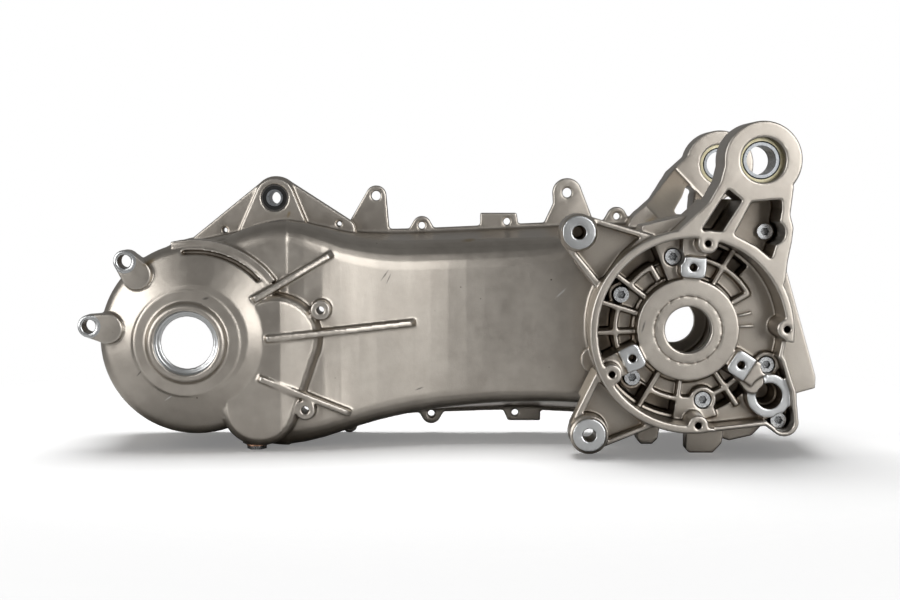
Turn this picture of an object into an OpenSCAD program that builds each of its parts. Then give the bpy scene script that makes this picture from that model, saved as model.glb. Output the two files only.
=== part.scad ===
// Two-piece crankcase of a small two-stroke scooter engine with a long belt case.
// Origin: crankshaft axis, on the joint plane between the two halves.
// +X points to the cylinder, +Y to the belt-cover side, +Z up.

/* [Crankshaft line] */
// Bore of the crankshaft seals
seal_d = 30; // [26:0.5:34]
// Outside diameter of the main bearings
bearing_d = 47; // [42:0.5:48]
// Width of each main bearing seat
bearing_w = 14; // [10:0.5:16]
// Radius of the crank chamber
chamber_r = 42; // [40:0.5:43]
// Depth of the crank chamber in the flywheel half
chamber_depth_near = 20; // [17:0.5:21]
// Depth of the crank chamber in the transmission half
chamber_depth_far = 18; // [15:0.5:20]
// Depth of the seal seat in the flywheel half
seal_w_near = 7; // [5:0.5:9]
// Depth of the seal seat in the transmission half
seal_w_far = 5; // [4:0.5:8]
// Thickness of the paper gasket between the halves
gasket_t = 0.5; // [0.3:0.1:1]

/* [Flywheel chamber] */
// Outer radius of the flywheel cover rim
rim_r = 65; // [64:0.5:68]
// Width of the rim's face
rim_w = 5.4; // [4:0.2:7]
// Distance of the rim's face from the joint plane
rim_y = 58; // [54:1:62]
// Distance of the chamber's smooth floor from the joint plane
floor_y = 27; // [25:0.5:28]
// Height of the casting ribs above the smooth floor
rib_h = 5; // [3:0.5:7]
// Thickness of the casting ribs
rib_t = 3.4; // [2.6:0.2:4.2]
// Radius of the round boss around the crankshaft seal
hub_r = 33; // [30:0.5:34]
// Radius of the stator screw circle
stator_r = 40.5; // [39:0.5:42]
// Distance of the stator pads from the joint plane
stator_y = 45; // [43:1:49]

/* [Gear housing] */
// Distance from the crankshaft to the rear axle along the case
axle_x = 325.5; // [320:0.5:332]
// Height of the rear axle below the crankshaft
axle_drop = 9.6; // [6:0.2:14]
// Diameter of the wheel-side seal seat at the rear axle
axle_seal_d = 42; // [38:1:46]
// Through bore at the rear axle
axle_bore_d = 34; // [28:1:36]
// Radius of the round part of the gear housing
gear_r = 63.5; // [61:0.5:65]
// Distance of the gear housing's outer face from the joint plane
gear_y = 28; // [24:1:32]

/* [Belt case] */
// Distance of the belt-cover flange from the joint plane
cover_y = 62; // [58:1:66]
// Wall thickness of the castings
wall = 4.5; // [3.5:0.5:5.5]
// Thickness of the cover flange and its ears
flange_t = 8; // [6:0.5:10]
// Outward lip of the cover flange
flange_lip = 2.5; // [1.5:0.5:4]

/* [Engine mounts] */
// Sideways position of the engine-mount axis
mount_x = 43.8; // [42:0.2:46]
// Height of the engine-mount axis
mount_z = 108.8; // [106:0.2:111]
// Radius of the mount lug heads
mount_head_r = 24.7; // [23:0.5:27]
// Bore of the mount lugs for the bushes
mount_seat_d = 28.6; // [26:0.5:30]
// Bolt hole in the bush sleeves
mount_bolt_d = 18.8; // [16:0.5:19.5]
// Distance from the near lug's face to the far lug's outer face
mount_span = 192; // [186:1:198]

/* [Shock absorber eye] */
// Height of the shock absorber eye
shock_z = 84.6; // [82:0.2:87]
// Bolt hole in the shock absorber bush
shock_bolt_d = 8.4; // [8:0.2:9]
// Length of the shock absorber eye
shock_w = 25; // [21:1:29]

/* [Cylinder] */
// Distance from the crankshaft axis to the cylinder deck
deck_d = 72.5; // [71:0.5:75]
// Tilt of the cylinder axis above the horizontal
cylinder_tilt = 16; // [13:0.5:18]
// Bore for the cylinder spigot
spigot_d = 46; // [42:1:48]
// Spacing of the cylinder studs
stud_pitch = 46; // [44:0.5:48]

/* [Fasteners] */
// Thread diameter of the case screws
screw_d = 6; // [5:0.5:6]
// Depth of the level at which the case screws seat
seat_y = 25; // [22:0.5:26]

/* [Hidden] */
SCREWS = ["case_screw_1", "case_screw_2", "case_screw_3", "case_screw_4",
          "case_screw_5", "case_screw_6", "case_screw_7"];
$fn = 96;

eps = 1;
joint = gasket_t / 2;

// Places in the plane of the drawing, as [x, z].
crank = [0, 0];
axle = [-axle_x, -axle_drop];
gear_c = axle + [3.9, 1.6];
clutch_c = [63.5 - axle_x, -4];
clutch_case_c = clutch_c + [0, -1.5];
clutch_case_r = 75.5;
clutch_flange_r = clutch_case_r - 2;
// Level that the case stands on: the low edge of the cover flange, which the foot shares.
floor_z = clutch_case_c[1] - clutch_flange_r - flange_lip;
lobe_c = axle + [57, 1.6];
lobe_r = 30;
idler_c = axle + [46.5, -43.4];
idler_r = 25.5;
mount = [mount_x, mount_z];
shock = [51.5 - axle_x, shock_z];
starter = [52.9, -43];
lobe_end = [61.8, -59.4];
upper_boss = [-71.8, 63.1];
lower_boss = [-64.6, -66.2];

// Case screws, as [x, z]: five inside the rim, one in the lower lobe, one in the mount arm.
screws = [[-42.3, 22.1], [-9, 46.8], [-34.8, -32], [11.3, -46.6], [52.4, -23.6],
          [60.8, -60], [50.4, 63.1]];
dowels = [[30.5, 43.5], [-50, -9]];
cover_screws = [[9.6, 56.2], [-50.6, -27], [4.6, -59.8], [60.3, 1.8]];
stator_angles = [86.5, 206.5, 326.5];

seal_r = seal_d / 2;
bearing_r = bearing_d / 2;
seal_y_near = chamber_depth_near + bearing_w + seal_w_near;
seal_y_far = chamber_depth_far + bearing_w + seal_w_far;
wall_r = rim_r - 2.5;
rim_in_r = rim_r - rim_w;
lobe_top = rim_y - 12;
rib_y = floor_y + rib_h;
gear_cover_y = 22;
flange_y = cover_y - flange_t;
deck_half = 33;
head_r = screw_d * 5 / 6;
thread_clear = 0.1;
mount_recess = 8;
lug_w = 36;
far_lug_w = 28;
far_face_y = mount_span - rim_y;

// Elementary solids: a plan extruded between two depths, and a hole through them.
module along(y0, y1) translate([0, y1, 0]) rotate([90, 0, 0]) linear_extrude(y1 - y0) children();
module spun(p) translate([p[0], 0, p[1]]) rotate([-90, 0, 0]) rotate_extrude() children();
module hole(p, r, y0, y1) translate([p[0], y0, p[1]]) rotate([-90, 0, 0]) cylinder(r = r, h = y1 - y0);
module disc(p, r) translate(p) circle(r);
function dir(a) = [cos(a), sin(a)];

// Two circles and straight sides that join them, a hundredth inside the tangents.
module link(p, rp, q, rq) {
    tuck = 0.99;
    d = norm(q - p);
    a = atan2(q[1] - p[1], q[0] - p[0]);
    b = acos((rp - rq) / d);
    disc(p, rp);
    disc(q, rq);
    polygon([p + tuck * rp * dir(a + b), p + tuck * rp * dir(a - b),
             q + tuck * rq * dir(a - b), q + tuck * rq * dir(a + b)]);
}

// A straight bar along a ray from the crankshaft axis.
module ray(a, r0, r1, w) rotate(a) translate([r0, -w / 2]) square([r1 - r0, w]);

// A sector of a ring.
module arc_band(r0, r1, a0, a1) intersection() {
    difference() { circle(r1); circle(r0); }
    polygon(concat([[0, 0]], [for (i = [0:6]) 1.3 * r1 * dir(a0 + (a1 - a0) * i / 6)]));
}

// A smooth curve through a few key points, given as [x, value].
function key_index(keys, x, i = 0) = i >= len(keys) - 2 || x < keys[i + 1][0] ? i : key_index(keys, x, i + 1);
function slope(keys, i) = let (a = max(0, i - 1), b = min(len(keys) - 1, i + 1))
    (keys[b][1] - keys[a][1]) / (keys[b][0] - keys[a][0]);
function curve(keys, x) = let (
    i = key_index(keys, x), h = keys[i + 1][0] - keys[i][0],
    t = max(0, min(1, (x - keys[i][0]) / h)))
    keys[i][1] * (1 + 2 * t) * (1 - t) * (1 - t) + keys[i + 1][1] * t * t * (3 - 2 * t)
    + h * slope(keys, i) * t * (1 - t) * (1 - t) - h * slope(keys, i + 1) * t * t * (1 - t);

// A skin over rings of points: each ring has as many points as the next one.
module skin(rings) {
    n = len(rings[0]);
    m = len(rings);
    polyhedron(
        points = [for (ring = rings) for (p = ring) p],
        faces = concat(
            [[for (j = [0:n - 1]) j]],
            [for (i = [0:m - 2]) for (j = [0:n - 1]) [i * n + j, (i + 1) * n + j, (i + 1) * n + (j + 1) % n]],
            [for (i = [0:m - 2]) for (j = [0:n - 1]) [i * n + j, (i + 1) * n + (j + 1) % n, i * n + (j + 1) % n]],
            [[for (j = [n - 1:-1:0]) (m - 1) * n + j]]));
}

// Belt case between the clutch and the crankshaft
// Heights of its long edges at the wheel-side wall and at the cover flange, by x.
clutch_x = clutch_c[0];
wall_keys = [[clutch_x, -14], [-240, -12.5], [-200, -4], [-150, 4], [-105, 4.5], [-62, 1.8], [0, 1.5]];
top_near = [[clutch_x, 70], [-246, 67.6], [-226, 61.4], [-197, 57.2], [-160, 57.5], [-93, 59], [-50, 60.3], [0, 61]];
top_far = [[clutch_x, 68], [-246, 65.8], [-226, 61.6], [-197, 60.3], [-160, 61.4], [-93, 64.5], [-40, 66.6], [0, 67.5]];
low_near = [[clutch_x, -81], [-253, -79.8], [-239, -76.7], [-225, -72.5], [-211, -68.3], [-197, -64.8], [-173, -60.3], [-150, -57.6], [-117, -55], [-70, -54.5], [-30, -58.5], [0, -61]];
low_far = [[clutch_x, -79], [-246, -77], [-220, -71], [-190, -65.6], [-150, -63.6], [-100, -62.5], [-40, -65.5], [0, -67.5]];
edge_keys = [[clutch_x, 14], [-225, 18], [-180, 20], [-100, 18], [-60, 12], [0, 7]];
low_edge_keys = [[clutch_x, 14], [-180, 13], [-100, 12], [-60, 10], [0, 7]];
stations = 22;
corner_steps = 6;
loft_tuck = 0.4;

// One cross-section of the belt case, from the cover side round the wheel-side wall and back.
function case_section(x, inset, y_end) = let (
    w = curve(wall_keys, x) + inset, r = curve(edge_keys, x) - inset / 2,
    q = curve(low_edge_keys, x) - inset / 2,
    zt = curve(top_near, x) - inset, zb = curve(low_near, x) + inset,
    far_t = curve(top_far, x) - inset, far_b = curve(low_far, x) + inset)
    concat(
        [[x, y_end, far_t]],
        [for (i = [0:corner_steps]) let (a = 90 * i / corner_steps)
            [x, w + r - r * sin(a), zt - r * (1 - cos(a))]],
        [for (i = [corner_steps:-1:0]) let (a = 90 * i / corner_steps)
            [x, w + q - q * sin(a), zb + q * (1 - cos(a))]],
        [[x, y_end, far_b]]);
module case_loft(inset, y_end, x0, x1)
    skin([for (i = [0:stations]) case_section(x0 + (x1 - x0) * i / stations, inset + loft_tuck, y_end)]);

// Plan of the belt case at the cover flange, grown by g.
module case_plan(g) {
    disc(gear_c, gear_r + g);
    disc(clutch_case_c, clutch_flange_r + g);
    disc(crank, 67.5 + g);
    polygon(concat(
        [for (i = [0:stations]) let (x = clutch_x * (1 - i / stations)) [x, curve(top_far, x) + g]],
        [for (i = [stations:-1:0]) let (x = clutch_x * (1 - i / stations)) [x, curve(low_far, x) - g]]));
}

// Turned end of the belt case round the clutch, with its rolled edge.
module clutch_end(inset, y_end, reach) intersection() {
    r = curve(edge_keys, clutch_x) - inset / 2;
    y0 = curve(wall_keys, clutch_x) + inset;
    rr = clutch_case_r - inset;
    spun(clutch_case_c) {
        translate([0, y0]) square([rr - r, y_end - y0]);
        translate([rr - r, y0 + r]) intersection() { circle(r); translate([0, -r]) square(r); }
        polygon([[0, y0 + r], [rr, y0 + r], [rr - 2, y_end], [0, y_end]]);
    }
    translate([clutch_x - 120, -40, -120]) cube([120 + reach, 140, 240]);
}

// Shoulder between the gear housing and the clutch end, in narrow steps.
module case_shoulder() for (s = [[-11, -6.5], [-7.5, -3.2], [-3, -1.2], [3.5, 0]])
    along(s[0], flange_y + 1.5) polygon([[-335, 53 + s[1]], [-293, 62.3 + s[1]], [-288, 40], [-332, 40]]);

// Turned end of the belt case round the crankshaft.
module crank_end(inset, y_end) spun(crank) {
    y0 = curve(wall_keys, 0) + inset;
    polygon([[0, y0], [61 - 5 - inset / 2, y0], [61 - inset, y0 + 6], [67.5 - inset, y_end], [0, y_end]]);
}

// Round gear housing with a rolled edge towards the wheel.
module gear_body() {
    edge = 10;
    y_c = 16.4 - gear_y;
    spun(gear_c) {
        // Face that falls away from the hub, down to the rolled edge.
        polygon([[0, -gear_y - 0.6], [36, -gear_y - 0.6],
                 [gear_r - edge + 0.99 * edge * sin(20), y_c - 0.99 * edge * cos(20)], [gear_r - edge, y_c], [0, y_c]]);
        translate([0, y_c]) square([gear_r, flange_y - y_c]);
        translate([gear_r - edge, y_c]) circle(edge);
    }
}
// Bead that runs round the housing's upper side, with a groove inside it.
module gear_bead() along(-18.5, -4) translate(gear_c) arc_band(57, 65.8, 36, 104);
module gear_groove() along(-gear_y - 2, -16.5) translate(gear_c) arc_band(56, 58.8, 42, 98);

// Gear chamber plan: the round housing and the lobe over the shafts.
module gear_plan(g) {
    disc(gear_c, gear_r + g);
    link(lobe_c, lobe_r + g, idler_c, idler_r + g);
}

// The lobe's face turns away beyond a fold, and its edge falls in four narrow steps.
module gear_lobe() for (s = [[0, -4.2], [1.1, -2.2], [2.6, -0.8], [4.6, 0]]) intersection() {
    along(-gear_y, gear_cover_y) link(lobe_c, lobe_r + s[1], idler_c, idler_r + s[1]);
    translate([0, 0, -120]) linear_extrude(240) polygon([[-345, gear_cover_y + eps], [-345, 3 - gear_y + s[0]],
        [-265, 3 - gear_y + s[0]], [-232, 11 - gear_y + s[0]], [-232, gear_cover_y + eps]]);
}

// Cylinder neck, its deck square to the cylinder axis.
axis_dir = dir(cylinder_tilt);
side_dir = dir(cylinder_tilt + 90);
function neck_point(d, t) = d * axis_dir + t * side_dir;
neck_low = 60.5;
module neck_plan() polygon([neck_point(25, deck_half + 8), neck_point(56, deck_half + 3),
    neck_point(deck_d - 8, deck_half), neck_point(deck_d, deck_half), neck_point(deck_d, -neck_low + 7),
    neck_point(deck_d - 2.4, -neck_low), neck_point(50, -neck_low), neck_point(20, -44)]);
module neck_bores() {
    place = [0, -cylinder_tilt, 0];
    // Spigot bore and the transfer passages on both sides of it.
    rotate(place) rotate([0, 90, 0]) translate([0, 0, 20]) cylinder(r = spigot_d / 2, h = deck_d);
    rotate(place) translate([62.5, -28, -14]) cube([deck_d, 56, 28]);
    for (y = [-1, 1]) for (t = [-1, 1])
        rotate(place) translate([deck_d - 20, y * stud_pitch / 2, t * stud_pitch / 2])
            rotate([0, 90, 0]) cylinder(r = 3.5, h = 20 + eps);
}

// Rib that runs from the gear housing over its step on to the wall.
module wall_rib(p, q, y_p, y_q, w) {
    len_pq = norm(q - p);
    a = atan2(q[1] - p[1], q[0] - p[0]);
    translate([p[0], 0, p[1]]) rotate([0, -a, 0]) translate([0, 0, -w / 2]) linear_extrude(w)
        polygon([[0, y_p + 4.2], [4, y_p], [len_pq * 0.55, (y_p * 0.6 + y_q * 0.4)], [len_pq - 3, y_q],
                 [len_pq, y_q + 3], [len_pq - 2, y_q + 8], [len_pq * 0.5, y_q + 4], [2, y_p + 12]]);
}

// Ears and tabs on the cover flange, as [x, z, radius, hole radius].
small_ears = [[-173.4, 65.2, 6.6, 2.5], [-36.7, 71.6, 6.6, 2.5], [-166.9, -67.6, 7, 2.5]];
tall_ear = [-205.4, 86];
big_ear = [-71.5, 88.1];
top_tab = [-113.7, 68];
low_tab = [-107.7, -67];
rest_ear = [-224.6, floor_z + 6];
module flange_ears() {
    for (e = small_ears) link([e[0], e[1]], e[2], [e[0], e[1] - sign(e[1]) * 8], e[2] + 4);
    link(tall_ear, 7.2, tall_ear + [-5.5, -25], 15);
    link(big_ear, 10.2, big_ear + [5.5, -26], 14.5);
    polygon([big_ear + [-17.5, -24], big_ear + [-8.5, -5], big_ear + [0, -24]]);
    polygon([top_tab + [-18.7, -8], top_tab + [-18.7, 6], top_tab + [6.8, 6], top_tab + [9, -8]]);
    polygon([low_tab + [-11, 8], low_tab + [-5, -5.5], low_tab + [18, -5.5], low_tab + [18, 8]]);
    link(rest_ear, 5.6, rest_ear + [0, 10], 9);
}
ear_holes = concat([for (e = small_ears) [e[0], e[1], e[3]]],
    [[tall_ear[0], tall_ear[1], 3.35], [big_ear[0], big_ear[1], 3.4],
     [top_tab[0], top_tab[1], 2.5], [low_tab[0], low_tab[1], 2.5], [rest_ear[0], rest_ear[1], 2.5]]);

// Bracket and eye for the shock absorber, above the clutch end.
shock_y = 45;
module shock_bracket() {
    eye_r = 13.5;
    base_l = [-331, 50];
    base_r = [-227, 62.5];
    along(shock_y - shock_w / 2 + 7, shock_y + shock_w / 2 - 7) difference() {
        union() {
            link(shock, eye_r + 1.5, base_l, 6);
            link(shock, eye_r + 1.5, base_r, 8);
            polygon([shock, base_l, [-290, 40], [-240, 40], base_r]);
        }
        for (p = [[-309.3, 62.3], [-230.3, 66.6]]) disc(p, 1.8);
    }
    along(shock_y - shock_w / 2, shock_y + shock_w / 2) {
        link(shock, eye_r, shock + [-16, -30], 11);
        link(shock, eye_r, shock + [15, -30], 11);
        polygon([shock, shock + [-16, -34], shock + [15, -34]]);
    }
}

// Far engine-mount arm: its plan, limited by a slanting side profile.
module far_arm() difference() {
    root = [-9, 58];
    run = norm(mount - root);
    a = atan2(mount[1] - root[1], mount[0] - root[0]);
    intersection() {
        along(20, far_face_y) difference() {
            union() {
                disc(mount, mount_head_r);
                link(mount, mount_head_r - 4, root, 23);
            }
            polygon([[5.5, 73], [17.5, 72.4], [25.4, 88.6], [20.6, 93], [17.5, 91.5]]);
            link([6.6, 74.9], 2, [17, 74.3], 2);
            link([17, 74.3], 2, [23.6, 88.8], 2);
            link([21.2, 90.8], 2, [6.6, 74.9], 2);
        }
        translate([root[0], 0, root[1]]) rotate([0, -a, 0]) translate([0, 0, -60]) linear_extrude(120)
            polygon([[-30, 34], [8, 36], [run - 26, far_face_y - far_lug_w], [run + 40, far_face_y - far_lug_w],
                     [run + 40, far_face_y], [run - 30, far_face_y], [14, cover_y - 1.5], [-30, cover_y - 1.5]]);
    }
    // Room for the belt cover on its flange.
    along(cover_y, far_face_y) disc(crank, 67.5 + flange_lip + 0.6);
}

// Machined lugs on the tail of the gear housing.
tail_lugs = [[-40.3, 53.1], [-64.1, 10.7]];
module tail_lug(d) {
    p = axle + d;
    inner = gear_c + (p - gear_c) * (gear_r - 7) / norm(p - gear_c);
    along(-gear_y + 1, -gear_y + 16) link(p, 7.5, inner, 10);
}

// Foot of the upper case screw, linked to the neck.
module top_screw_plan() {
    disc(screws[6], 10);
    link(screws[6], 8, [44, 40], 12);
}

module transmission_half() color([0.70, 0.68, 0.65]) difference() {
    union() {
        difference() {
            union() {
                case_loft(0, flange_y + 1, clutch_x, 0);
                clutch_end(0, flange_y + 2, 0.6);
                case_shoulder();
                crank_end(0, flange_y + 3);
                gear_body();
                along(flange_y, cover_y) {
                    case_plan(flange_lip);
                    flange_ears();
                }
                along(joint, cover_y) disc(crank, wall_r - 2);
                shock_bracket();
                far_arm();
            }
            case_loft(wall, cover_y + eps, clutch_x + 1, -1);
            clutch_end(wall, cover_y + eps, 2);
            crank_end(wall, cover_y + eps);
            along(gear_cover_y, cover_y + eps) disc(gear_c, gear_r - wall);
        }
        along(joint, 8) disc(crank, wall_r);
        along(joint, chamber_depth_far + 5) disc(crank, chamber_r + 5);
        along(chamber_depth_far, seal_y_far) disc(crank, bearing_r + 6);
        along(joint, deck_half) neck_plan();
        along(joint, 14) lobe_plan(0);
        along(joint, 20) top_screw_plan();
        along(-gear_y + 12, gear_cover_y) gear_plan(-3);
        gear_lobe();
        gear_bead();
        for (d = tail_lugs) tail_lug(d);
        hub_lip();
        for (p = wall_bosses) along(-gear_y + 6, 0) disc(p, 6.5);
        wall_rib(axle + [41.2, 26.5], axle + [94.4, 57.7], -gear_y + 0.4, -16, 4);
        wall_rib(axle + [48.4, 1.8], axle + [148.9, 11], -gear_y + 0.4, -3.5, 4);
        wall_rib(axle + [44.2, -22.4], axle + [106.2, -49], -gear_y + 0.4, -15, 4);
        drain_boss();
        for (p = screws) if (norm(p) < 60) along(joint, 20) disc(p, 7.5);
    }
    transmission_bores();
    gear_groove();
}

wall_bosses = [axle + [86.9, 20.9], axle + [76.5, -45.1]];
hub_face_y = -gear_y - 5;
module hub_lip() spun(axle) polygon([[0, hub_face_y], [23.8, hub_face_y], [25.2, hub_face_y + 0.7], [26.2, hub_face_y + 2], [26.9, -gear_y - 1.2],
    [34.6, -gear_y - 1.2], [35.6, -gear_y - 0.2], [38, -gear_y + 5], [38, -12], [0, -12]]);

drain = [-282, 0];
drain_top_y = -12;
washer_z = 2.4;
washer_t = 1.2;
module drain_boss() translate([drain[0], drain_top_y, floor_z + washer_z + washer_t]) cylinder(r = 9.5, h = 14);

chamber_floor_y = -gear_y + 13;
module transmission_bores() {
    // Crank chamber, main bearing and seal.
    along(-eps, chamber_depth_far) disc(crank, chamber_r);
    hole(crank, bearing_r, 0, chamber_depth_far + bearing_w);
    hole(crank, seal_r, 0, seal_y_far + eps);
    neck_bores();
    // Gear chamber, open to the belt side, with bearing seats in its floor.
    difference() {
        along(chamber_floor_y, gear_cover_y + eps) gear_plan(-wall - 2.5);
        hole(axle, 29, chamber_floor_y - eps, chamber_floor_y + 3);
        hole(idler_seat, 20, chamber_floor_y - eps, chamber_floor_y + 4.4);
        hole(clutch_seat, 18, chamber_floor_y - eps, chamber_floor_y + 4.4);
        for (p = gear_cover_screws) hole(p, 6, chamber_floor_y - eps, gear_cover_y + 2 * eps);
    }
    hole(axle, axle_seal_d / 2, hub_face_y - eps, hub_face_y + 6);
    hole(axle, axle_bore_d / 2, hub_face_y - eps, 0);
    hole(axle, 23.5, hub_face_y + 8, chamber_floor_y + 4);
    hole(idler_seat, 16, chamber_floor_y - 3.6, chamber_floor_y + 5);
    hole(clutch_seat, 14, chamber_floor_y - 3.6, chamber_floor_y + 5);
    for (p = gear_cover_screws) hole(p, 2.5, gear_cover_y - 16, gear_cover_y + eps);
    for (p = wall_bosses) hole(p, 2.5, -gear_y, 20);
    for (d = tail_lugs) hole(axle + d, 4.4, -gear_y, -gear_y + 16.5);
    // Case screws, dowels and ears.
    for (p = screws) hole(p, screw_d / 2, -eps, 17);
    for (p = dowels) hole(p, dowel_r, -eps, dowel_l / 2 + 0.5);
    for (e = ear_holes) hole([e[0], e[1]], e[2], flange_y - eps, cover_y + eps);
    // Seats of the bushes.
    hole(mount, mount_seat_d / 2, far_face_y - far_lug_w - 20, far_face_y + eps);
    hole(shock, shock_shell_r, shock_y - shock_w / 2 - eps, shock_y + shock_w / 2 + eps);
    // Drain hole with its spot face.
    translate([drain[0], drain_top_y, floor_z - eps]) cylinder(r = drain_thread_r, h = 24);
    translate([drain[0], drain_top_y, floor_z - eps]) cylinder(r = 8.6, h = washer_z + washer_t + eps);
}

idler_seat = idler_c + [-4, 12];
clutch_seat = clutch_c;
gear_cover_screws = [for (a = [60, 105, 150, 195, 240, 275]) gear_c + (gear_r - 8.6) * dir(a)];
dowel_r = 4;
dowel_l = 12;
drain_thread_r = 4;

// Flywheel half
module lobe_plan(g) {
    link(starter, 16.6 + g, screws[4], 11 + g);
    link(starter, 16.6 + g, lobe_end, 9.2 + g);
    polygon([[0, 0], [6, -62.4 - g], [17, -65.4 - g], [50, -61.6 - g], [56, -65.2 - 0.8 * g], lobe_end, starter]);
}

// Plan of everything that rises above the smooth floor: radial ribs, ring rib and solid webs.
rib_angles = [59.3, 142.5, 162.7, 183, 239, 304];
module rib_plan() {
    for (a = rib_angles) ray(a, hub_r - 2, rim_in_r + 1, rib_t);
    ray(29.5, hub_r - 2, 47, rib_t);
    ray(120, hub_r + 3, 47, rib_t);
    arc_band(44.6, 47.8, 29.5, 80);
    arc_band(44.6, 47.8, 118, 143);
    arc_band(44.6, 47.8, 162, 200);
    arc_band(44.6, 47.8, 238, 265);
    arc_band(44.6, 47.8, 288, 316);
    arc_band(hub_r - 2, rim_in_r + 1, 93.5, 111.5);
    arc_band(44.6, rim_in_r + 1, 262, 290);
    arc_band(hub_r - 2, 48, 262, 266);
}
module smooth_plan() {
    arc_band(hub_r, rim_in_r, -36, 30);
    arc_band(47, rim_in_r, 29, 45);
}

module stator_pad(a) {
    c = 3.6;
    w = 16.4;
    r0 = stator_r - 6.8;
    r1 = stator_r + 6.6;
    along(-stator_y, -chamber_depth_near - 1) rotate(a) {
        translate([r0 + c, -w / 2]) square([r1 - r0 - c, w]);
        translate([r0, -w / 2 + c]) square([r1 - r0, w - 2 * c]);
        for (s = [-1, 1]) translate([r0 + c, s * (w / 2 - c)]) circle(c);
    }
    along(-stator_y + 1.4, -chamber_depth_near - 1) difference() {
        ray(a, r1 - 1, rim_in_r + 1.2, w - 0.6);
        disc(starter, 14);
    }
}

// Near engine-mount arm.
module near_arm_plan() {
    disc(mount, mount_head_r);
    polygon([[19.5, 106.5], [16.7, 95.3], [9.4, 82.4], [-1.9, 72], [-12, 62.5], [0, 50], [50, 30], [58.6, 31],
             [60.1, 45.4], screws[6] + [12, -6], screws[6] + [13, 3], [61.2, 74.3], [63.3, 92.1], mount]);
}
module near_pockets() {
    along(-rim_y - eps, -floor_y + 12) polygon([[21.8, 90.5], [30.6, 83.4], [18.3, 63.8], [10.5, 64.6], [5.2, 64.2]]);
    along(-rim_y - eps, -seat_y) {
        disc(screws[6], 7.6);
        polygon([[36.6, 82.4], [55.2, 84], [55.8, 78], [54.3, 69.8], [53, 58], [49.5, 46.6], [40, 54.5], [26, 61.8]]);
    }
}
module near_arm() {
    along(-rim_y, -rim_y + lug_w) near_arm_plan();
    along(-rim_y, -joint) intersection() {
        near_arm_plan();
        translate([-40, 0]) square([120, 84]);
    }
}

// Triangular arm with a machined boss: a plate with raised edges.
module boss_arm(boss, boss_r, outline, recess, back_r) {
    along(-48, -32) difference() {
        union() {
            disc(boss, boss_r);
            polygon(outline);
        }
        polygon(recess);
    }
    along(-37, -32) polygon(outline);
    along(-32, -12) intersection() {
        polygon(outline);
        circle(back_r);
    }
    hole(boss, boss_r, -54, -32);
    hole(boss, 10.7, -56, -32);
}

module front_foot() {
    along(-31, -14) polygon([[0.8, -55], [0.8, floor_z + 2], [2.6, floor_z], [18.2, floor_z], [24, floor_z + 6.2], [27, -55]]);
    along(-27, -10) polygon([[-31, -50], [-31, -73.5], [-28.5, -76.4], [-21, -76.4], [-17.5, -73], [-14, -55]]);
    along(-24, -7) polygon([[18, -55], [24, -72.6], [30, -74.6], [45, -71.2], [53, -63], [50, -50]]);
}

module flywheel_half() color([0.72, 0.70, 0.67]) difference() {
    union() {
        // Outer wall, floor and rim.
        difference() {
            union() {
                along(-rim_y + 12, -joint) disc(crank, wall_r);
                along(-rim_y, -rim_y + 12.5) difference() {
                    disc(crank, rim_r);
                    polygon([[0, 0], 120 * dir(-76), [120, -120], 120 * dir(-6)]);
                }
                along(-lobe_top, -joint) lobe_plan(0);
                near_arm();
                along(-deck_half, -joint) neck_plan();
                front_foot();
                along(-33, -joint) polygon([[-34, 50], [-29, 67.2], [-15, 70.6], [-2, 73.8], [8, 72], [10, 50]]);
                along(-7, -joint) disc([-57.5, -23], 9);
                boss_arm(upper_boss, 12, [[-69, 74.6], [-22, 60.5], [-20, 40], [-50, 30], [-59.6, 26.9], [-81.8, 55.7]],
                         [[-61, 68.6], [-32, 60], [-44, 49], [-54, 34.5], [-57.8, 31.8], [-74.5, 52]], 84);
                boss_arm(lower_boss, 12.5, [[-76.3, -60.5], [-59.6, -26.5], [-40, -30], [-20, -61], [-61, -77.6]],
                         [[-70, -58], [-57.8, -32.5], [-50, -40], [-36, -54], [-28, -61], [-58, -72.6]], 82);
            }
            along(-rim_y - eps, -floor_y) {
                disc(crank, rim_in_r);
                lobe_plan(-3.1);
            }
        }
        along(-seal_y_near, -chamber_depth_near) disc(crank, hub_r);
        along(-rib_y, -chamber_depth_near - 1) intersection() {
            rib_plan();
            union() {
                circle(rim_in_r + 0.5);
                lobe_plan(-2);
            }
        }
        for (a = stator_angles) stator_pad(a);
        for (p = cover_screws) along(-rim_y, -floor_y + 2) intersection() {
            disc(p, 6.5);
            circle(rim_r);
        }
        for (p = [screws[0], screws[2]]) along(-seat_y, -8) disc(p, 7.5);
        for (p = [screws[4], screws[3], screws[1]]) along(-rib_y, -8) disc(p, 8.6);
        along(-40, -8) disc(starter, 14.4);
        along(-42, -24) link([36, -26], 7, [42, -34], 7);
    }
    flywheel_bores();
}

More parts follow.
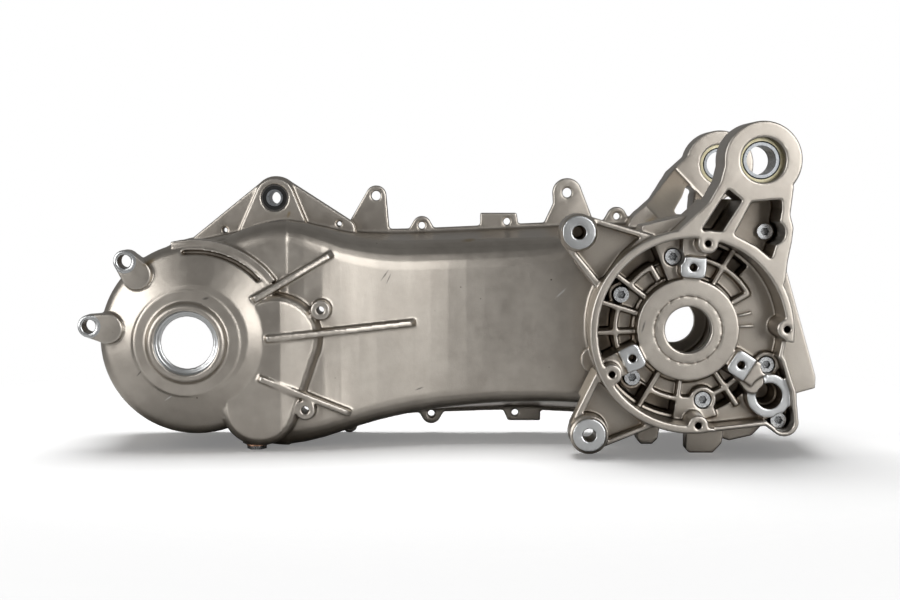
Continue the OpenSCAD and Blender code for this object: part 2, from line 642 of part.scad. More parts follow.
module flywheel_bores() {
    // Casting pockets between the ribs.
    along(-floor_y - eps, -chamber_depth_near - 3.6) difference() {
        arc_band(hub_r + 2.5, 45, 0, 359.9);
        rib_plan();
        smooth_plan();
        for (a = stator_angles) ray(a, 20, 60, 17);
        for (p = [screws[4], screws[3], screws[1]]) disc(p, 8.6);
    }
    along(-floor_y - eps, -8) difference() {
        arc_band(46, 57, 0, 359.9);
        rib_plan();
        smooth_plan();
        for (a = stator_angles) ray(a, 20, 64, 16);
        for (p = screws) disc(p, 8);
        disc(starter, 14.4);
    }
    // Crank chamber, main bearing and seal.
    along(-chamber_depth_near, eps) disc(crank, chamber_r);
    hole(crank, bearing_r, -chamber_depth_near - bearing_w, 0);
    hole(crank, seal_r, -seal_y_near - eps, 0);
    difference() {
        hole(crank, 22.3, -seal_y_near - eps, -seal_y_near + 0.7);
        hole(crank, 21.2, -seal_y_near - 2 * eps, -seal_y_near + 2 * eps);
    }
    neck_bores();
    near_pockets();
    hole(mount, mount_seat_d / 2, -rim_y - eps, -rim_y + lug_w + eps);
    // Case screws: clearance for the shank, and a seat for the head.
    for (p = screws) {
        hole(p, screw_d / 2 + 0.3, -seat_y - eps, eps);
        hole(p, head_r + 0.6, -rim_y - 2 * eps, -seat_y);
    }
    for (p = cover_screws) hole(p, 2.1, -rim_y - eps, -rim_y + 18);
    for (a = stator_angles) rotate([0, -a, 0]) hole([stator_r, 0], 2.5, -stator_y - eps, -stator_y + 12);
    for (p = dowels) hole(p, dowel_r, -dowel_l / 2 - 0.5, eps);
    hole(starter, 8.4, -lobe_top - eps, -23);
    hole(starter, 6.4, -40, -4);
    hole(upper_boss, 4.3, -56 - eps, -36);
    hole(lower_boss, 4.2, -56 - eps, -30);
}

module joint_gasket() color([0.45, 0.42, 0.36]) difference() {
    union() {
        along(-joint, joint) disc(crank, wall_r);
        along(-joint, joint) neck_plan();
        along(-joint, joint) lobe_plan(0);
        along(-joint, joint) top_screw_plan();
    }
    along(-1, 1) disc(crank, chamber_r);
    neck_bores();
    for (p = screws) hole(p, screw_d / 2 + 0.3, -1, 1);
    for (p = dowels) hole(p, dowel_r + 0.2, -1, 1);
}

module dowel(p) color([0.75, 0.75, 0.77]) difference() {
    hole(p, dowel_r, -dowel_l / 2, dowel_l / 2);
    hole(p, 2.6, -dowel_l, dowel_l);
}

module case_screw(p) color([0.82, 0.83, 0.84]) difference() {
    union() {
        hole(p, head_r, -seat_y - screw_d, -seat_y);
        hole(p, screw_d / 2 - thread_clear, -seat_y - eps, 15);
    }
    translate([p[0], -seat_y - screw_d - eps, p[1]]) rotate([-90, 0, 0])
        cylinder(r = screw_d * 0.48, h = screw_d * 0.55 + eps, $fn = 6);
}

// Bonded mount bush: outer shell, thin rubber and inner sleeve.
module tube(p, r1, r0, y0, y1) difference() {
    hole(p, r1, y0, y1);
    hole(p, r0, y0 - eps, y1 + eps);
}
shell_t = 2.1;
rubber_t = 0.9;
seat_r = mount_seat_d / 2;
near_bush = [-rim_y + mount_recess, -rim_y + lug_w - 1];
far_bush = [far_face_y - far_lug_w + 2, far_face_y - 1];
module mount_shell(ys) color([0.78, 0.71, 0.50]) tube(mount, seat_r, seat_r - shell_t, ys[0], ys[1]);
module mount_rubber(ys) color([0.08, 0.08, 0.08])
    tube(mount, seat_r - shell_t, seat_r - shell_t - rubber_t, ys[0] + 0.6, ys[1] - 0.6);
module mount_sleeve(ys) color([0.72, 0.73, 0.74])
    tube(mount, seat_r - shell_t - rubber_t, mount_bolt_d / 2, ys[0], ys[1]);

shock_shell_r = 9.3;
module shock_tube(r1, r0, inset) tube(shock, r1, r0, shock_y - shock_w / 2 + inset, shock_y + shock_w / 2 - inset);
module shock_bush_shell() color([0.35, 0.34, 0.33]) shock_tube(shock_shell_r, 8.3, 0.5);
module shock_bush_rubber() color([0.06, 0.06, 0.06]) shock_tube(8.3, 5.7, 1);
module shock_bush_sleeve() color([0.75, 0.76, 0.77]) shock_tube(5.7, shock_bolt_d / 2, 0);

module drain_plug() color([0.80, 0.80, 0.80]) translate([drain[0], drain_top_y, 0]) difference() {
    union() {
        translate([0, 0, floor_z]) cylinder(r = 6.5, h = washer_z, $fn = 6);
        translate([0, 0, floor_z + 1]) cylinder(r = drain_thread_r - thread_clear, h = 14);
    }
}
module drain_washer() color([0.72, 0.45, 0.28]) translate([drain[0], drain_top_y, floor_z + washer_z]) difference() {
    cylinder(r = 7, h = washer_t);
    translate([0, 0, -eps]) cylinder(r = drain_thread_r + 0.2, h = 4);
}

transmission_half();
flywheel_half();
joint_gasket();
dowel(dowels[0]);  // dowel_front
dowel(dowels[1]);  // dowel_rear
for (i = [0:len(SCREWS) - 1])
    case_screw(screws[i]);
mount_shell(near_bush);  // near_mount_shell
mount_rubber(near_bush);  // near_mount_rubber
mount_sleeve(near_bush);  // near_mount_sleeve
mount_shell(far_bush);  // far_mount_shell
mount_rubber(far_bush);  // far_mount_rubber
mount_sleeve(far_bush);  // far_mount_sleeve
shock_bush_shell();
shock_bush_rubber();
shock_bush_sleeve();
drain_plug();
drain_washer();
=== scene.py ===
# %% [markdown]
# # The crankcase of a small scooter engine, dressed for a studio photograph
#
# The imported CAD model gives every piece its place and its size.
# This lesson adds the looks: the skin of the castings, the machined faces,
# the steel, the rubber and the light of a white studio.

import math

import bmesh
import bpy
from mathutils import Matrix, Vector


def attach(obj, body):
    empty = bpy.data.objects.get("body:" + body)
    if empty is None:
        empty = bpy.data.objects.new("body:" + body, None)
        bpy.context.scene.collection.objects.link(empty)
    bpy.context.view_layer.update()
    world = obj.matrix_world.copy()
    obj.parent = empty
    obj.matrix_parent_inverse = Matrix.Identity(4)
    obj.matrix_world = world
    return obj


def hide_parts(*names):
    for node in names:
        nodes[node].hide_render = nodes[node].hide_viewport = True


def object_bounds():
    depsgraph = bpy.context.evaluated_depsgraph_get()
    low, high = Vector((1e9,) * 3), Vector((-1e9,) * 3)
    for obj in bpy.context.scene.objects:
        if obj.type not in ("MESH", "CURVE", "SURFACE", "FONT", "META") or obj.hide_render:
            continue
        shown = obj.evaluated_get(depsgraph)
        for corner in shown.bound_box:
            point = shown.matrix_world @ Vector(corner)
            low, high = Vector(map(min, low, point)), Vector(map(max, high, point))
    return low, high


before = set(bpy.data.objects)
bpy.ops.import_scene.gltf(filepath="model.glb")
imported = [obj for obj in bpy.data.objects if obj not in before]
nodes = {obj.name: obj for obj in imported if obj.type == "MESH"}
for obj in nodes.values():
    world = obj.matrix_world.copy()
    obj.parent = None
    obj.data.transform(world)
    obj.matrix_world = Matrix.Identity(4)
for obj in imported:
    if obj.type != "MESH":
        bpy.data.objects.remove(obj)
cad_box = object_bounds()
floor_height = cad_box[0][2]
print("pieces in the frame:", len(nodes))

# %% [markdown]
# ## The camera
#
# A long lens stands a metre in front of the case and a little above the
# crankshaft. It looks slightly down, which shows how the two mount lugs and
# the shock absorber's eye lie one behind the other.

# %% Camera
camera_place = (-0.1536, -1.068, 0.0899)
looks_down = 3.93
camera_data = bpy.data.cameras.new("studio_camera")
camera_data.lens = 64.0
camera_data.sensor_width = 36.0
camera = bpy.data.objects.new("studio_camera", camera_data)
camera.location = camera_place
camera.rotation_euler = (math.radians(90.0 - looks_down), 0.0, 0.0)
bpy.context.scene.collection.objects.link(camera)
bpy.context.scene.camera = camera
bpy.context.scene.view_settings.view_transform = "Standard"
print("camera at", tuple(round(c, 3) for c in camera_place))

# %% [markdown]
# ## Helpers for materials
#
# A material is a small network. These helpers keep each one readable: `add`
# places a node, `join` links two sockets, and `effect` opens a node group with
# named inputs and outputs.


# %% Node helpers
def add(tree, kind, **settings):
    node = tree.nodes.new(kind)
    for name, value in settings.items():
        setattr(node, name, value)
    return node


def join(tree, source, target):
    tree.links.new(source, target)


def effect(name, inputs, outputs):
    tree = bpy.data.node_groups.new(name, "ShaderNodeTree")
    for label, kind, value in inputs:
        socket = tree.interface.new_socket(label, in_out="INPUT", socket_type=kind)
        socket.default_value = value
    for label, kind in outputs:
        tree.interface.new_socket(label, in_out="OUTPUT", socket_type=kind)
    return tree, add(tree, "NodeGroupInput"), add(tree, "NodeGroupOutput")


def maths(tree, operation, a, b=None, clamp=False):
    node = add(tree, "ShaderNodeMath", operation=operation, use_clamp=clamp)
    for socket, value in zip(node.inputs, (a, b)):
        if value is None:
            continue
        if isinstance(value, (int, float)):
            socket.default_value = value
        else:
            join(tree, value, socket)
    return node.outputs[0]


def noise(tree, vector, scale, detail=3.0, roughness=0.5):
    node = add(tree, "ShaderNodeTexNoise")
    node.inputs["Scale"].default_value = scale
    node.inputs["Detail"].default_value = detail
    node.inputs["Roughness"].default_value = roughness
    join(tree, vector, node.inputs["Vector"])
    return node.outputs["Fac"]


def ramp(tree, value, low, high):
    node = add(tree, "ShaderNodeMapRange", clamp=True)
    node.inputs["From Min"].default_value = low
    node.inputs["From Max"].default_value = high
    join(tree, value, node.inputs["Value"])
    return node.outputs["Result"]


def blend_colour(tree, amount, a, b):
    node = add(tree, "ShaderNodeMix", data_type="RGBA")
    for socket, value in zip((node.inputs[0], node.inputs[6], node.inputs[7]), (amount, a, b)):
        if isinstance(value, tuple):
            socket.default_value = (*value, 1.0)
        else:
            join(tree, value, socket)
    return node.outputs[2]


def grey(value):
    return (value, value, value)


def fine_bump(tree, height, strength, distance, shader):
    bump = add(tree, "ShaderNodeBump")
    bump.inputs["Strength"].default_value = strength
    bump.inputs["Distance"].default_value = distance
    join(tree, height, bump.inputs["Height"])
    join(tree, bump.outputs["Normal"], shader.inputs["Normal"])


def hollows(tree, distance, open_side, closed_side):
    shade = add(tree, "ShaderNodeAmbientOcclusion", samples=6)
    shade.inputs["Distance"].default_value = distance
    return ramp(tree, shade.outputs["AO"], open_side, closed_side)


def fresh_material(name):
    material = bpy.data.materials.new(name)
    material.use_nodes = True
    tree = material.node_tree
    shader = tree.nodes["Principled BSDF"]
    place = add(tree, "ShaderNodeTexCoord").outputs["Object"]
    return material, tree, shader, place


print("node helpers ready")

# %% [markdown]
# ## The skin of a blasted casting
#
# Aluminium that has been blasted is a field of tiny pits: satin, warm grey,
# and a little uneven in tone. A painted picture could show it, but it would
# have to be wrapped round every rib. Noise that reads the place in space needs
# no wrapping. The group gives a grain for the bump, a slow mottling for the
# colour and a few dark pores.

# %% Blasted skin group
grain_scale = 2200.0
pit_scale = 420.0
cloud_scale = 28.0
patch_scale = 150.0
pore_scale = 95.0
blasted_skin, skin_in, skin_out = effect(
    "blasted_skin",
    [("Vector", "NodeSocketVector", (0, 0, 0)), ("Grain", "NodeSocketFloat", grain_scale)],
    [("Height", "NodeSocketFloat"), ("Mottle", "NodeSocketFloat"), ("Pores", "NodeSocketFloat")],
)
skin_place = skin_in.outputs["Vector"]
grain = add(blasted_skin, "ShaderNodeTexNoise")
grain.inputs["Detail"].default_value = 2.0
join(blasted_skin, skin_place, grain.inputs["Vector"])
join(blasted_skin, skin_in.outputs["Grain"], grain.inputs["Scale"])
pits = noise(blasted_skin, skin_place, pit_scale, 3.0, 0.6)
skin_height = maths(blasted_skin, "ADD", grain.outputs["Fac"], maths(blasted_skin, "MULTIPLY", pits, 0.8))
join(blasted_skin, skin_height, skin_out.inputs["Height"])
clouds = maths(blasted_skin, "MULTIPLY", noise(blasted_skin, skin_place, cloud_scale, 5.0, 0.6), 0.6)
patches = maths(blasted_skin, "MULTIPLY", noise(blasted_skin, skin_place, patch_scale, 3.0, 0.55), 0.4)
join(blasted_skin, maths(blasted_skin, "ADD", clouds, patches), skin_out.inputs["Mottle"])
pore_field = add(blasted_skin, "ShaderNodeTexVoronoi", feature="F1")
pore_field.inputs["Scale"].default_value = pore_scale
join(blasted_skin, skin_place, pore_field.inputs["Vector"])
pore_dots = ramp(blasted_skin, pore_field.outputs["Distance"], 0.075, 0.03)
pore_gate = ramp(blasted_skin, noise(blasted_skin, skin_place, 60.0, 1.0), 0.60, 0.66)
join(blasted_skin, maths(blasted_skin, "MULTIPLY", pore_dots, pore_gate), skin_out.inputs["Pores"])
print("blasted skin:", len(blasted_skin.nodes), "nodes")

# %% [markdown]
# ## Machined faces
#
# A cutter leaves the end of a boss flat and brighter than the skin round it.
# The mask is a ring about an axis that runs front to back, near one depth, so
# one group serves every boss: its centre, its two radii and how far it reaches
# along the axis are inputs.

# %% Machined ring group
machined_ring, ring_in, ring_out = effect(
    "machined_ring",
    [
        ("Vector", "NodeSocketVector", (0, 0, 0)),
        ("Centre", "NodeSocketVector", (0, 0, 0)),
        ("Inner", "NodeSocketFloat", 0.01),
        ("Outer", "NodeSocketFloat", 0.02),
        ("Reach", "NodeSocketFloat", 0.0006),
    ],
    [("Mask", "NodeSocketFloat")],
)
from_centre = add(machined_ring, "ShaderNodeVectorMath", operation="SUBTRACT")
join(machined_ring, ring_in.outputs["Vector"], from_centre.inputs[0])
join(machined_ring, ring_in.outputs["Centre"], from_centre.inputs[1])
ring_axes = add(machined_ring, "ShaderNodeSeparateXYZ")
join(machined_ring, from_centre.outputs[0], ring_axes.inputs[0])
in_plane = add(machined_ring, "ShaderNodeCombineXYZ")
join(machined_ring, ring_axes.outputs["X"], in_plane.inputs["X"])
join(machined_ring, ring_axes.outputs["Z"], in_plane.inputs["Z"])
ring_radius = add(machined_ring, "ShaderNodeVectorMath", operation="LENGTH")
join(machined_ring, in_plane.outputs[0], ring_radius.inputs[0])
within = maths(machined_ring, "LESS_THAN", ring_radius.outputs["Value"], ring_in.outputs["Outer"])
beyond = maths(machined_ring, "GREATER_THAN", ring_radius.outputs["Value"], ring_in.outputs["Inner"])
off_plane = maths(machined_ring, "ABSOLUTE", ring_axes.outputs["Y"])
at_depth = maths(machined_ring, "LESS_THAN", off_plane, ring_in.outputs["Reach"])
in_the_ring = maths(machined_ring, "MULTIPLY", maths(machined_ring, "MULTIPLY", within, beyond), at_depth)
join(machined_ring, in_the_ring, ring_out.inputs["Mask"])
print("machined ring:", len(machined_ring.nodes), "nodes")

# %% [markdown]
# ## Marks of use
#
# A casting that has been handled carries a few oil stains, dull spots and
# scratches. One group gives the mask of a single mark: it is a soft blot about
# a place, stretched along its own direction and broken up by noise.

# %% Mark group
mark_depth = 0.03
mark, mark_in, mark_out = effect(
    "mark_of_use",
    [
        ("Vector", "NodeSocketVector", (0, 0, 0)),
        ("Centre", "NodeSocketVector", (0, 0, 0)),
        ("Turn", "NodeSocketFloat", 0.0),
        ("Long", "NodeSocketFloat", 0.01),
        ("Wide", "NodeSocketFloat", 0.003),
    ],
    [("Mask", "NodeSocketFloat")],
)
from_mark = add(mark, "ShaderNodeVectorMath", operation="SUBTRACT")
join(mark, mark_in.outputs["Vector"], from_mark.inputs[0])
join(mark, mark_in.outputs["Centre"], from_mark.inputs[1])
turned = add(mark, "ShaderNodeVectorRotate", rotation_type="Y_AXIS")
join(mark, from_mark.outputs[0], turned.inputs["Vector"])
join(mark, mark_in.outputs["Turn"], turned.inputs["Angle"])
mark_axes = add(mark, "ShaderNodeSeparateXYZ")
join(mark, turned.outputs[0], mark_axes.inputs[0])
along = maths(mark, "DIVIDE", mark_axes.outputs["X"], mark_in.outputs["Long"])
across = maths(mark, "DIVIDE", mark_axes.outputs["Z"], mark_in.outputs["Wide"])
along_squared = maths(mark, "POWER", maths(mark, "ABSOLUTE", along), 2.0)
across_squared = maths(mark, "POWER", maths(mark, "ABSOLUTE", across), 2.0)
away = maths(mark, "SQRT", maths(mark, "ADD", along_squared, across_squared))
raggedness = maths(mark, "MULTIPLY", noise(mark, mark_in.outputs["Vector"], 380.0, 4.0, 0.65), 0.9)
blot = ramp(mark, maths(mark, "ADD", away, raggedness), 1.35, 0.75)
near_the_face = maths(mark, "LESS_THAN", maths(mark, "ABSOLUTE", mark_axes.outputs["Y"]), mark_depth)
join(mark, maths(mark, "MULTIPLY", blot, near_the_face), mark_out.inputs["Mask"])
print("mark group:", len(mark.nodes), "nodes")

# %% [markdown]
# ## Where the castings are machined and marked
#
# Each machined face has a centre, an inner and an outer radius and a reach
# along its axis. Each mark has a centre, a turn in radians, a half length and
# a half width. All lengths are in metres, measured from the crankshaft.

# %% Machined faces and marks
axle_seat_ring = ((-0.3255, -0.0285, -0.0096), 0.0163, 0.0214, 0.0030)
upper_arm_boss = ((-0.0718, -0.0560, 0.0631), 0.0030, 0.0109, 0.0006)
lower_arm_boss = ((-0.0646, -0.0560, -0.0662), 0.0030, 0.0109, 0.0006)
upper_tail_lug = ((-0.3658, -0.0270, 0.0435), 0.0030, 0.0078, 0.0008)
lower_tail_lug = ((-0.3896, -0.0270, 0.0011), 0.0030, 0.0078, 0.0008)
starter_face = ((0.0529, -0.0400, -0.0430), 0.0060, 0.0146, 0.0006)
# The hub's groove is too fine for the rebuilt skin, so a dark ring is painted on the hub face as its
# shade; it is not a machined face.
painted_hub_groove_shade = ((0.0, -0.0410, 0.0), 0.0213, 0.0223, 0.0020)
machined_faces = [
    axle_seat_ring,
    upper_arm_boss,
    lower_arm_boss,
    upper_tail_lug,
    lower_tail_lug,
    starter_face,
]
pad_circle = 0.0405
pad_depth = -0.0450
for degrees in (86.5, 206.5, 326.5):
    around = math.radians(degrees)
    pad = (pad_circle * math.cos(around), pad_depth, pad_circle * math.sin(around))
    machined_faces.append((pad, 0.0024, 0.0105, 0.0007))
stains = [
    ((-0.3502, -0.020, 0.0429), 0.6, 0.0050, 0.0022),
    ((-0.1409, 0.000, 0.0560), 0.1, 0.0060, 0.0016),
    ((-0.0163, 0.050, 0.0668), 0.9, 0.0090, 0.0040),
    ((-0.2643, 0.040, 0.0734), 1.2, 0.0035, 0.0016),
]
scratches = [
    ((-0.1970, -0.002, 0.0334), 0.95, 0.0060, 0.0007),
    ((-0.1945, -0.002, 0.0310), 1.15, 0.0045, 0.0006),
    ((-0.3570, -0.024, -0.0298), 0.8, 0.0035, 0.0008),
    ((-0.3125, -0.024, 0.0195), 0.2, 0.0030, 0.0012),
    ((-0.1738, 0.003, -0.0431), 0.35, 0.0040, 0.0009),
    ((-0.0290, -0.036, 0.0020), 1.3, 0.0060, 0.0009),
]
bare_spots = [
    ((-0.0791, 0.004, 0.0210), 0.75, 0.0065, 0.0009),
    ((-0.3380, -0.024, -0.0460), 0.6, 0.0040, 0.0007),
]
print("machined faces:", len(machined_faces), "marks:", len(stains + scratches + bare_spots))

# %% [markdown]
# ## The material of the castings
#
# Both halves come from the same foundry and the same blasting cabin, so one
# material serves both. Over the plain skin lie, in this order, bright edges
# that are partly wear and partly a painted highlight, painted shade in hollows
# and crevices, pores, stains, scratches, bare spots and a dark ring of painted
# shade for the groove on the hub. The machined faces come last, because a
# cutter takes all of that away.

# %% Casting material
casting, tree, shader, place = fresh_material("blasted_aluminium")
skin = add(tree, "ShaderNodeGroup", node_tree=blasted_skin)
join(tree, place, skin.inputs["Vector"])


def mask_of(group, labels, row):
    stamp = add(tree, "ShaderNodeGroup", node_tree=group)
    join(tree, place, stamp.inputs["Vector"])
    for label, value in zip(labels, row):
        stamp.inputs[label].default_value = value
    return stamp.outputs["Mask"]


def ring_mask(row):
    return mask_of(machined_ring, ("Centre", "Inner", "Outer", "Reach"), row)


def strongest(masks):
    total = masks[0]
    for mask in masks[1:]:
        total = maths(tree, "MAXIMUM", total, mask)
    return total


def marks_mask(rows):
    return strongest([mask_of(mark, ("Centre", "Turn", "Long", "Wide"), row) for row in rows])


def part_of(mask, share):
    return maths(tree, "MULTIPLY", mask, share)


machined = strongest([ring_mask(row) for row in machined_faces])
pointiness = add(tree, "ShaderNodeNewGeometry").outputs["Pointiness"]
# Convex edges are lightened: partly wear, partly a painted highlight.
worn_and_highlit_edge = ramp(tree, pointiness, 0.515, 0.56)
# Concave creases are darkened: painted shade.
painted_crevice_shade = ramp(tree, pointiness, 0.488, 0.44)
# Hollows that see little of the world are darkened: painted shade, made patchy and browner by the mottle.
painted_hollow_shade = hollows(tree, 0.030, 0.62, 0.16)
shade_patchiness = ramp(tree, skin.outputs["Mottle"], 0.30, 0.60)
painted_patchy_shade = maths(tree, "MULTIPLY", painted_hollow_shade, shade_patchiness, clamp=True)
mottle = ramp(tree, skin.outputs["Mottle"], 0.38, 0.62)
layers = [
    (worn_and_highlit_edge, (0.66, 0.625, 0.575)),
    (part_of(painted_hollow_shade, 0.65), (0.15, 0.125, 0.095)),
    (part_of(painted_patchy_shade, 0.45), (0.10, 0.062, 0.03)),
    (part_of(painted_crevice_shade, 0.55), (0.14, 0.115, 0.09)),
    (skin.outputs["Pores"], (0.16, 0.13, 0.10)),
    (part_of(marks_mask(stains), 0.6), (0.36, 0.26, 0.12)),
    (part_of(marks_mask(scratches), 0.75), (0.13, 0.12, 0.11)),
    (marks_mask(bare_spots), (0.80, 0.78, 0.74)),
    (part_of(ring_mask(painted_hub_groove_shade), 0.8), (0.20, 0.17, 0.14)),
    (machined, (0.70, 0.71, 0.71)),
]
colour = blend_colour(tree, mottle, (0.50, 0.455, 0.40), (0.57, 0.525, 0.465))
for mask, tone in layers:
    colour = blend_colour(tree, mask, colour, tone)
join(tree, colour, shader.inputs["Base Color"])
cast_roughness = blend_colour(tree, mottle, grey(0.32), grey(0.38))
join(tree, blend_colour(tree, machined, cast_roughness, grey(0.28)), shader.inputs["Roughness"])
shader.inputs["Metallic"].default_value = 1.0
fine_bump(tree, skin.outputs["Height"], 0.22, 0.0002, shader)
print("casting material:", len(tree.nodes), "nodes")

# %% [markdown]
# ## Steel, zinc, rubber and paper
#
# The small pieces each get a finish of their own: bright zinc on the screws,
# ground steel in the sleeves, yellow passivated shells, black bonded rubber,
# a copper washer and a fibre gasket between the halves. One function makes
# them all, since they differ only in colour, roughness and grain. It paints
# shade into deep places, so that the sockets of the screws read as holes.


# %% Small finishes
def small_finish(name, low, high, rough, metallic=1.0, scale=300.0, strength=0.15):
    material, tree, shader, place = fresh_material(name)
    tone = ramp(tree, noise(tree, place, scale, 4.0, 0.6), 0.35, 0.65)
    clean = blend_colour(tree, tone, low, high)
    # Painted shade: the colour darkens where occlusion finds a hollow, such as a screw socket.
    dark = hollows(tree, 0.004, 0.70, 0.30)
    in_the_dark = tuple(0.10 * c for c in low)
    join(tree, blend_colour(tree, dark, clean, in_the_dark), shader.inputs["Base Color"])
    spread = ramp(tree, noise(tree, place, scale * 2.3, 3.0), 0.3, 0.7)
    roughness = blend_colour(tree, spread, grey(rough - 0.05), grey(rough + 0.07))
    join(tree, roughness, shader.inputs["Roughness"])
    shader.inputs["Metallic"].default_value = metallic
    fine_bump(tree, noise(tree, place, scale * 5, 3.0), strength, 0.0001, shader)
    return material


zinc = small_finish("bright_zinc", (0.72, 0.74, 0.75), (0.79, 0.80, 0.81), 0.27, strength=0.05)
steel = small_finish("ground_steel", (0.40, 0.42, 0.44), (0.48, 0.50, 0.52), 0.30, strength=0.05)
yellow = small_finish("yellow_passivated_shell", (0.60, 0.54, 0.34), (0.72, 0.67, 0.48), 0.33)
rubber = small_finish("bonded_rubber", (0.010, 0.010, 0.010), (0.022, 0.021, 0.020), 0.62, 0.0, 500.0, 0.3)
dull = small_finish("dull_dark_steel", (0.10, 0.095, 0.09), (0.17, 0.16, 0.15), 0.45)
paper = small_finish("fibre_gasket", (0.16, 0.14, 0.11), (0.24, 0.21, 0.17), 0.85, 0.0, 900.0, 0.4)
copper = small_finish("soft_copper", (0.62, 0.34, 0.22), (0.75, 0.45, 0.30), 0.35)
print("small finishes: 7")

# %% [markdown]
# ## Which piece has which finish
#
# The pieces are known by their names in the frame. What no line names is a
# ground steel sleeve or a dowel.

# %% Finishes by name
finish_by_name = {
    "drain_plug": zinc,
    "drain_washer": copper,
    "shock_bush_shell": dull,
    "joint_gasket": paper,
}
finish_by_ending = {"_half": casting, "_rubber": rubber, "_mount_shell": yellow}
for name, node in nodes.items():
    finish = finish_by_name.get(name, zinc if name.startswith("case_screw") else steel)
    for ending, by_ending in finish_by_ending.items():
        if name.endswith(ending):
            finish = by_ending
    node.data.materials.clear()
    node.data.materials.append(finish)
    print(name, "is", finish.name)

# %% [markdown]
# ## The castings' round edges
#
# CAD leaves knife edges where a real casting has small radii. A copy of each
# half is merged into one skin, rebuilt on a fine grid, smoothed and thinned
# again, so that every corner gets a fillet of about a millimetre. Bevelling
# edge by edge was the other way, and it breaks where many faces meet.

# %% How fine the castings are
far_grid = 0.0008
near_grid = 0.0007
faces_kept = 190000
print("grid:", far_grid, near_grid)


# %% Rebuild a casting with round edges
def round_cast(name, voxel, faces, passes=4):
    mesh = nodes[name].data.copy()
    work = bmesh.new()
    work.from_mesh(mesh)
    bmesh.ops.remove_doubles(work, verts=work.verts, dist=1e-5)
    work.to_mesh(mesh)
    work.free()
    piece = bpy.data.objects.new(name + "_cast", mesh)
    bpy.context.scene.collection.objects.link(piece)
    remesh = piece.modifiers.new("grid", "REMESH")
    remesh.mode = "VOXEL"
    remesh.voxel_size = voxel
    remesh.adaptivity = 0.0
    smooth = piece.modifiers.new("fillets", "SMOOTH")
    smooth.factor = 0.5
    smooth.iterations = passes
    thin = piece.modifiers.new("thin", "DECIMATE")
    bpy.context.view_layer.update()
    dense = len(piece.evaluated_get(bpy.context.evaluated_depsgraph_get()).data.polygons)
    thin.ratio = min(1.0, faces / (2.0 * dense))
    bpy.context.view_layer.update()
    final = bpy.data.meshes.new_from_object(piece.evaluated_get(bpy.context.evaluated_depsgraph_get()))
    piece.modifiers.clear()
    piece.data = final
    final.shade_smooth()
    final.materials.clear()
    final.materials.append(casting)
    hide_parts(name)
    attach(piece, "root")
    print(name, "dense", dense, "kept", len(final.polygons))


round_cast("transmission_half", far_grid, faces_kept)
round_cast("flywheel_half", near_grid, faces_kept)

# %% [markdown]
# ## Two short ribs beside the hub
#
# The smooth floor of the flywheel chamber carries two low stub ribs next to
# the hub. They are only there to stiffen the floor, and a small bevel gives
# them the same round edges as the rest of the casting.

# %% Stub ribs
rib_width = 0.0018
rib_start = 0.0320
rib_end = 0.0440
rib_back = 0.0262
rib_front = 0.0300
rib_round = 0.0006


def stub_rib(name, degrees):
    size = (rib_end - rib_start, rib_front - rib_back, rib_width)
    middle = ((rib_start + rib_end) / 2, -(rib_back + rib_front) / 2, 0.0)
    turn = Matrix.Rotation(-math.radians(degrees), 3, "Y")
    work = bmesh.new()
    bmesh.ops.create_cube(work, size=1.0)
    bmesh.ops.scale(work, vec=size, verts=work.verts)
    bmesh.ops.bevel(
        work, geom=work.edges[:], offset=rib_round, segments=2, profile=0.5, affect="EDGES", material=-1
    )
    bmesh.ops.translate(work, vec=middle, verts=work.verts)
    bmesh.ops.rotate(work, matrix=turn, verts=work.verts)
    mesh = bpy.data.meshes.new(name)
    work.to_mesh(mesh)
    work.free()
    mesh.shade_smooth()
    mesh.materials.append(casting)
    rib = bpy.data.objects.new(name, mesh)
    bpy.context.scene.collection.objects.link(rib)
    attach(rib, "root")


stub_rib("stub_rib_low", 2.0)
stub_rib("stub_rib_high", 13.5)
print("stub ribs: 2")

# %% [markdown]
# ## The floor
#
# The floor is a white sheet that only has to carry a soft shadow. It fades out
# round the case, so that no edge of it shows against the white behind. To the
# camera it glows a little. Mirrors see a darker sheet, so that the undersides
# of the castings stay darker than their sides.

# %% Floor
floor_half_size = 6.0
floor_gap = 0.0001
fade_starts = 0.30
fade_ends = 0.52
bench = bmesh.new()
bmesh.ops.create_grid(bench, x_segments=1, y_segments=1, size=floor_half_size)
floor_mesh = bpy.data.meshes.new("studio_floor")
bench.to_mesh(floor_mesh)
bench.free()
floor_mesh.transform(Matrix.Translation((0.0, 0.0, floor_height - floor_gap)))
floor = bpy.data.objects.new("studio_floor", floor_mesh)
bpy.context.scene.collection.objects.link(floor)
white_floor = bpy.data.materials.new("white_floor")
white_floor.use_nodes = True
tree = white_floor.node_tree
tree.nodes.clear()
output = add(tree, "ShaderNodeOutputMaterial")
sheet = add(tree, "ShaderNodeBsdfDiffuse")
glow = add(tree, "ShaderNodeEmission")
rays = add(tree, "ShaderNodeLightPath")
sheet_colour = blend_colour(tree, rays.outputs["Is Glossy Ray"], grey(0.86), grey(0.50))
join(tree, sheet_colour, sheet.inputs["Color"])
join(tree, maths(tree, "MULTIPLY", rays.outputs["Is Camera Ray"], 0.20), glow.inputs["Strength"])
lit_sheet = add(tree, "ShaderNodeAddShader")
join(tree, sheet.outputs[0], lit_sheet.inputs[0])
join(tree, glow.outputs[0], lit_sheet.inputs[1])
from_case = add(tree, "ShaderNodeVectorMath", operation="DISTANCE")
join(tree, add(tree, "ShaderNodeTexCoord").outputs["Object"], from_case.inputs[0])
from_case.inputs[1].default_value = (-0.15, 0.0, floor_height)
fading = add(tree, "ShaderNodeMixShader")
join(tree, ramp(tree, from_case.outputs["Value"], fade_starts, fade_ends), fading.inputs[0])
join(tree, lit_sheet.outputs[0], fading.inputs[1])
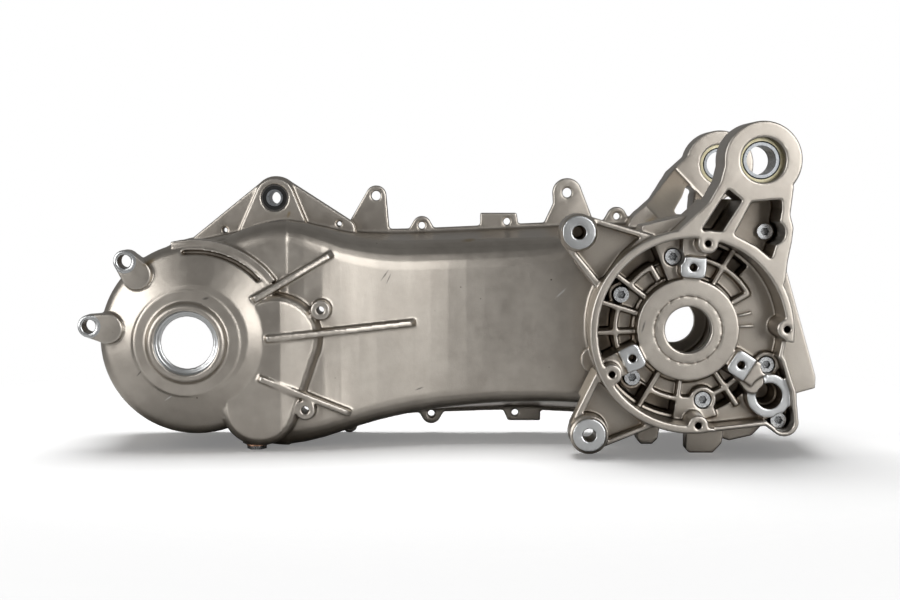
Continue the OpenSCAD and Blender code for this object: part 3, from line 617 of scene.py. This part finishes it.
join(tree, add(tree, "ShaderNodeBsdfTransparent").outputs[0], fading.inputs[2])
join(tree, fading.outputs[0], output.inputs["Surface"])
floor_mesh.materials.append(white_floor)
print("floor at", round(floor_height, 4))

# %% [markdown]
# ## The world
#
# The camera sees the world as white. It lights the case only weakly, so that
# the lamps shape the metal. Mirrors see it at that weak level too, with a
# touch more behind the case, because an all white world flattens the metal.

# %% World
world_light = 0.16
behind_the_case = 0.06
world = bpy.data.worlds.new("studio")
bpy.context.scene.world = world
world.use_nodes = True
tree = world.node_tree
tree.nodes.clear()
output = add(tree, "ShaderNodeOutputWorld")
background = add(tree, "ShaderNodeBackground")
background.inputs["Color"].default_value = (1.0, 1.0, 1.0, 1.0)
rays = add(tree, "ShaderNodeLightPath")
world_axes = add(tree, "ShaderNodeSeparateXYZ")
join(tree, add(tree, "ShaderNodeTexCoord").outputs["Generated"], world_axes.inputs[0])
behind = ramp(tree, world_axes.outputs["Y"], 0.0, 0.35)
mirrored_behind = maths(tree, "MULTIPLY", rays.outputs["Is Glossy Ray"], behind)
mirrored = maths(tree, "MULTIPLY", mirrored_behind, behind_the_case)
through_glass = maths(tree, "MAXIMUM", mirrored, rays.outputs["Is Transmission Ray"])
seen_white = maths(tree, "MAXIMUM", rays.outputs["Is Camera Ray"], through_glass)
added = maths(tree, "MULTIPLY", seen_white, 1.0 - world_light)
join(tree, maths(tree, "ADD", added, world_light), background.inputs["Strength"])
join(tree, background.outputs[0], output.inputs["Surface"])
print("world light:", world_light)

# %% [markdown]
# ## The lamps
#
# Two softboxes beside the camera light the metal, and the gap between them
# gives the long wall its dark band. They throw nothing on matt surfaces, so
# the shadow is left to the lamp overhead. That lamp lights the floor and the
# rubber and is kept out of the mirrors, where it would whiten upward slopes.


# %% Lamps
def softbox(name, place, target, width, height, watts):
    data = bpy.data.lights.new(name, "AREA")
    data.shape = "RECTANGLE"
    data.size = width
    data.size_y = height
    data.energy = watts
    lamp = bpy.data.objects.new(name, data)
    lamp.location = place
    lamp.rotation_euler = (Vector(target) - Vector(place)).to_track_quat("-Z", "Y").to_euler()
    bpy.context.scene.collection.objects.link(lamp)
    return lamp


case_middle = (-0.15, 0.0, 0.1)
softbox_height = 1.2
left_box = softbox("left_softbox", (-1.80, -1.40, 0.46), case_middle, 1.6, softbox_height, 20.0)
right_box = softbox("right_softbox", (0.88, -1.40, 0.46), case_middle, 1.2, softbox_height, 14.5)
left_box.visible_diffuse = False
right_box.visible_diffuse = False
overhead = softbox("overhead_lamp", (-0.22, 0.36, 1.4), (-0.15, 0.0, 0.0), 1.0, 1.0, 24.0)
overhead.visible_glossy = False
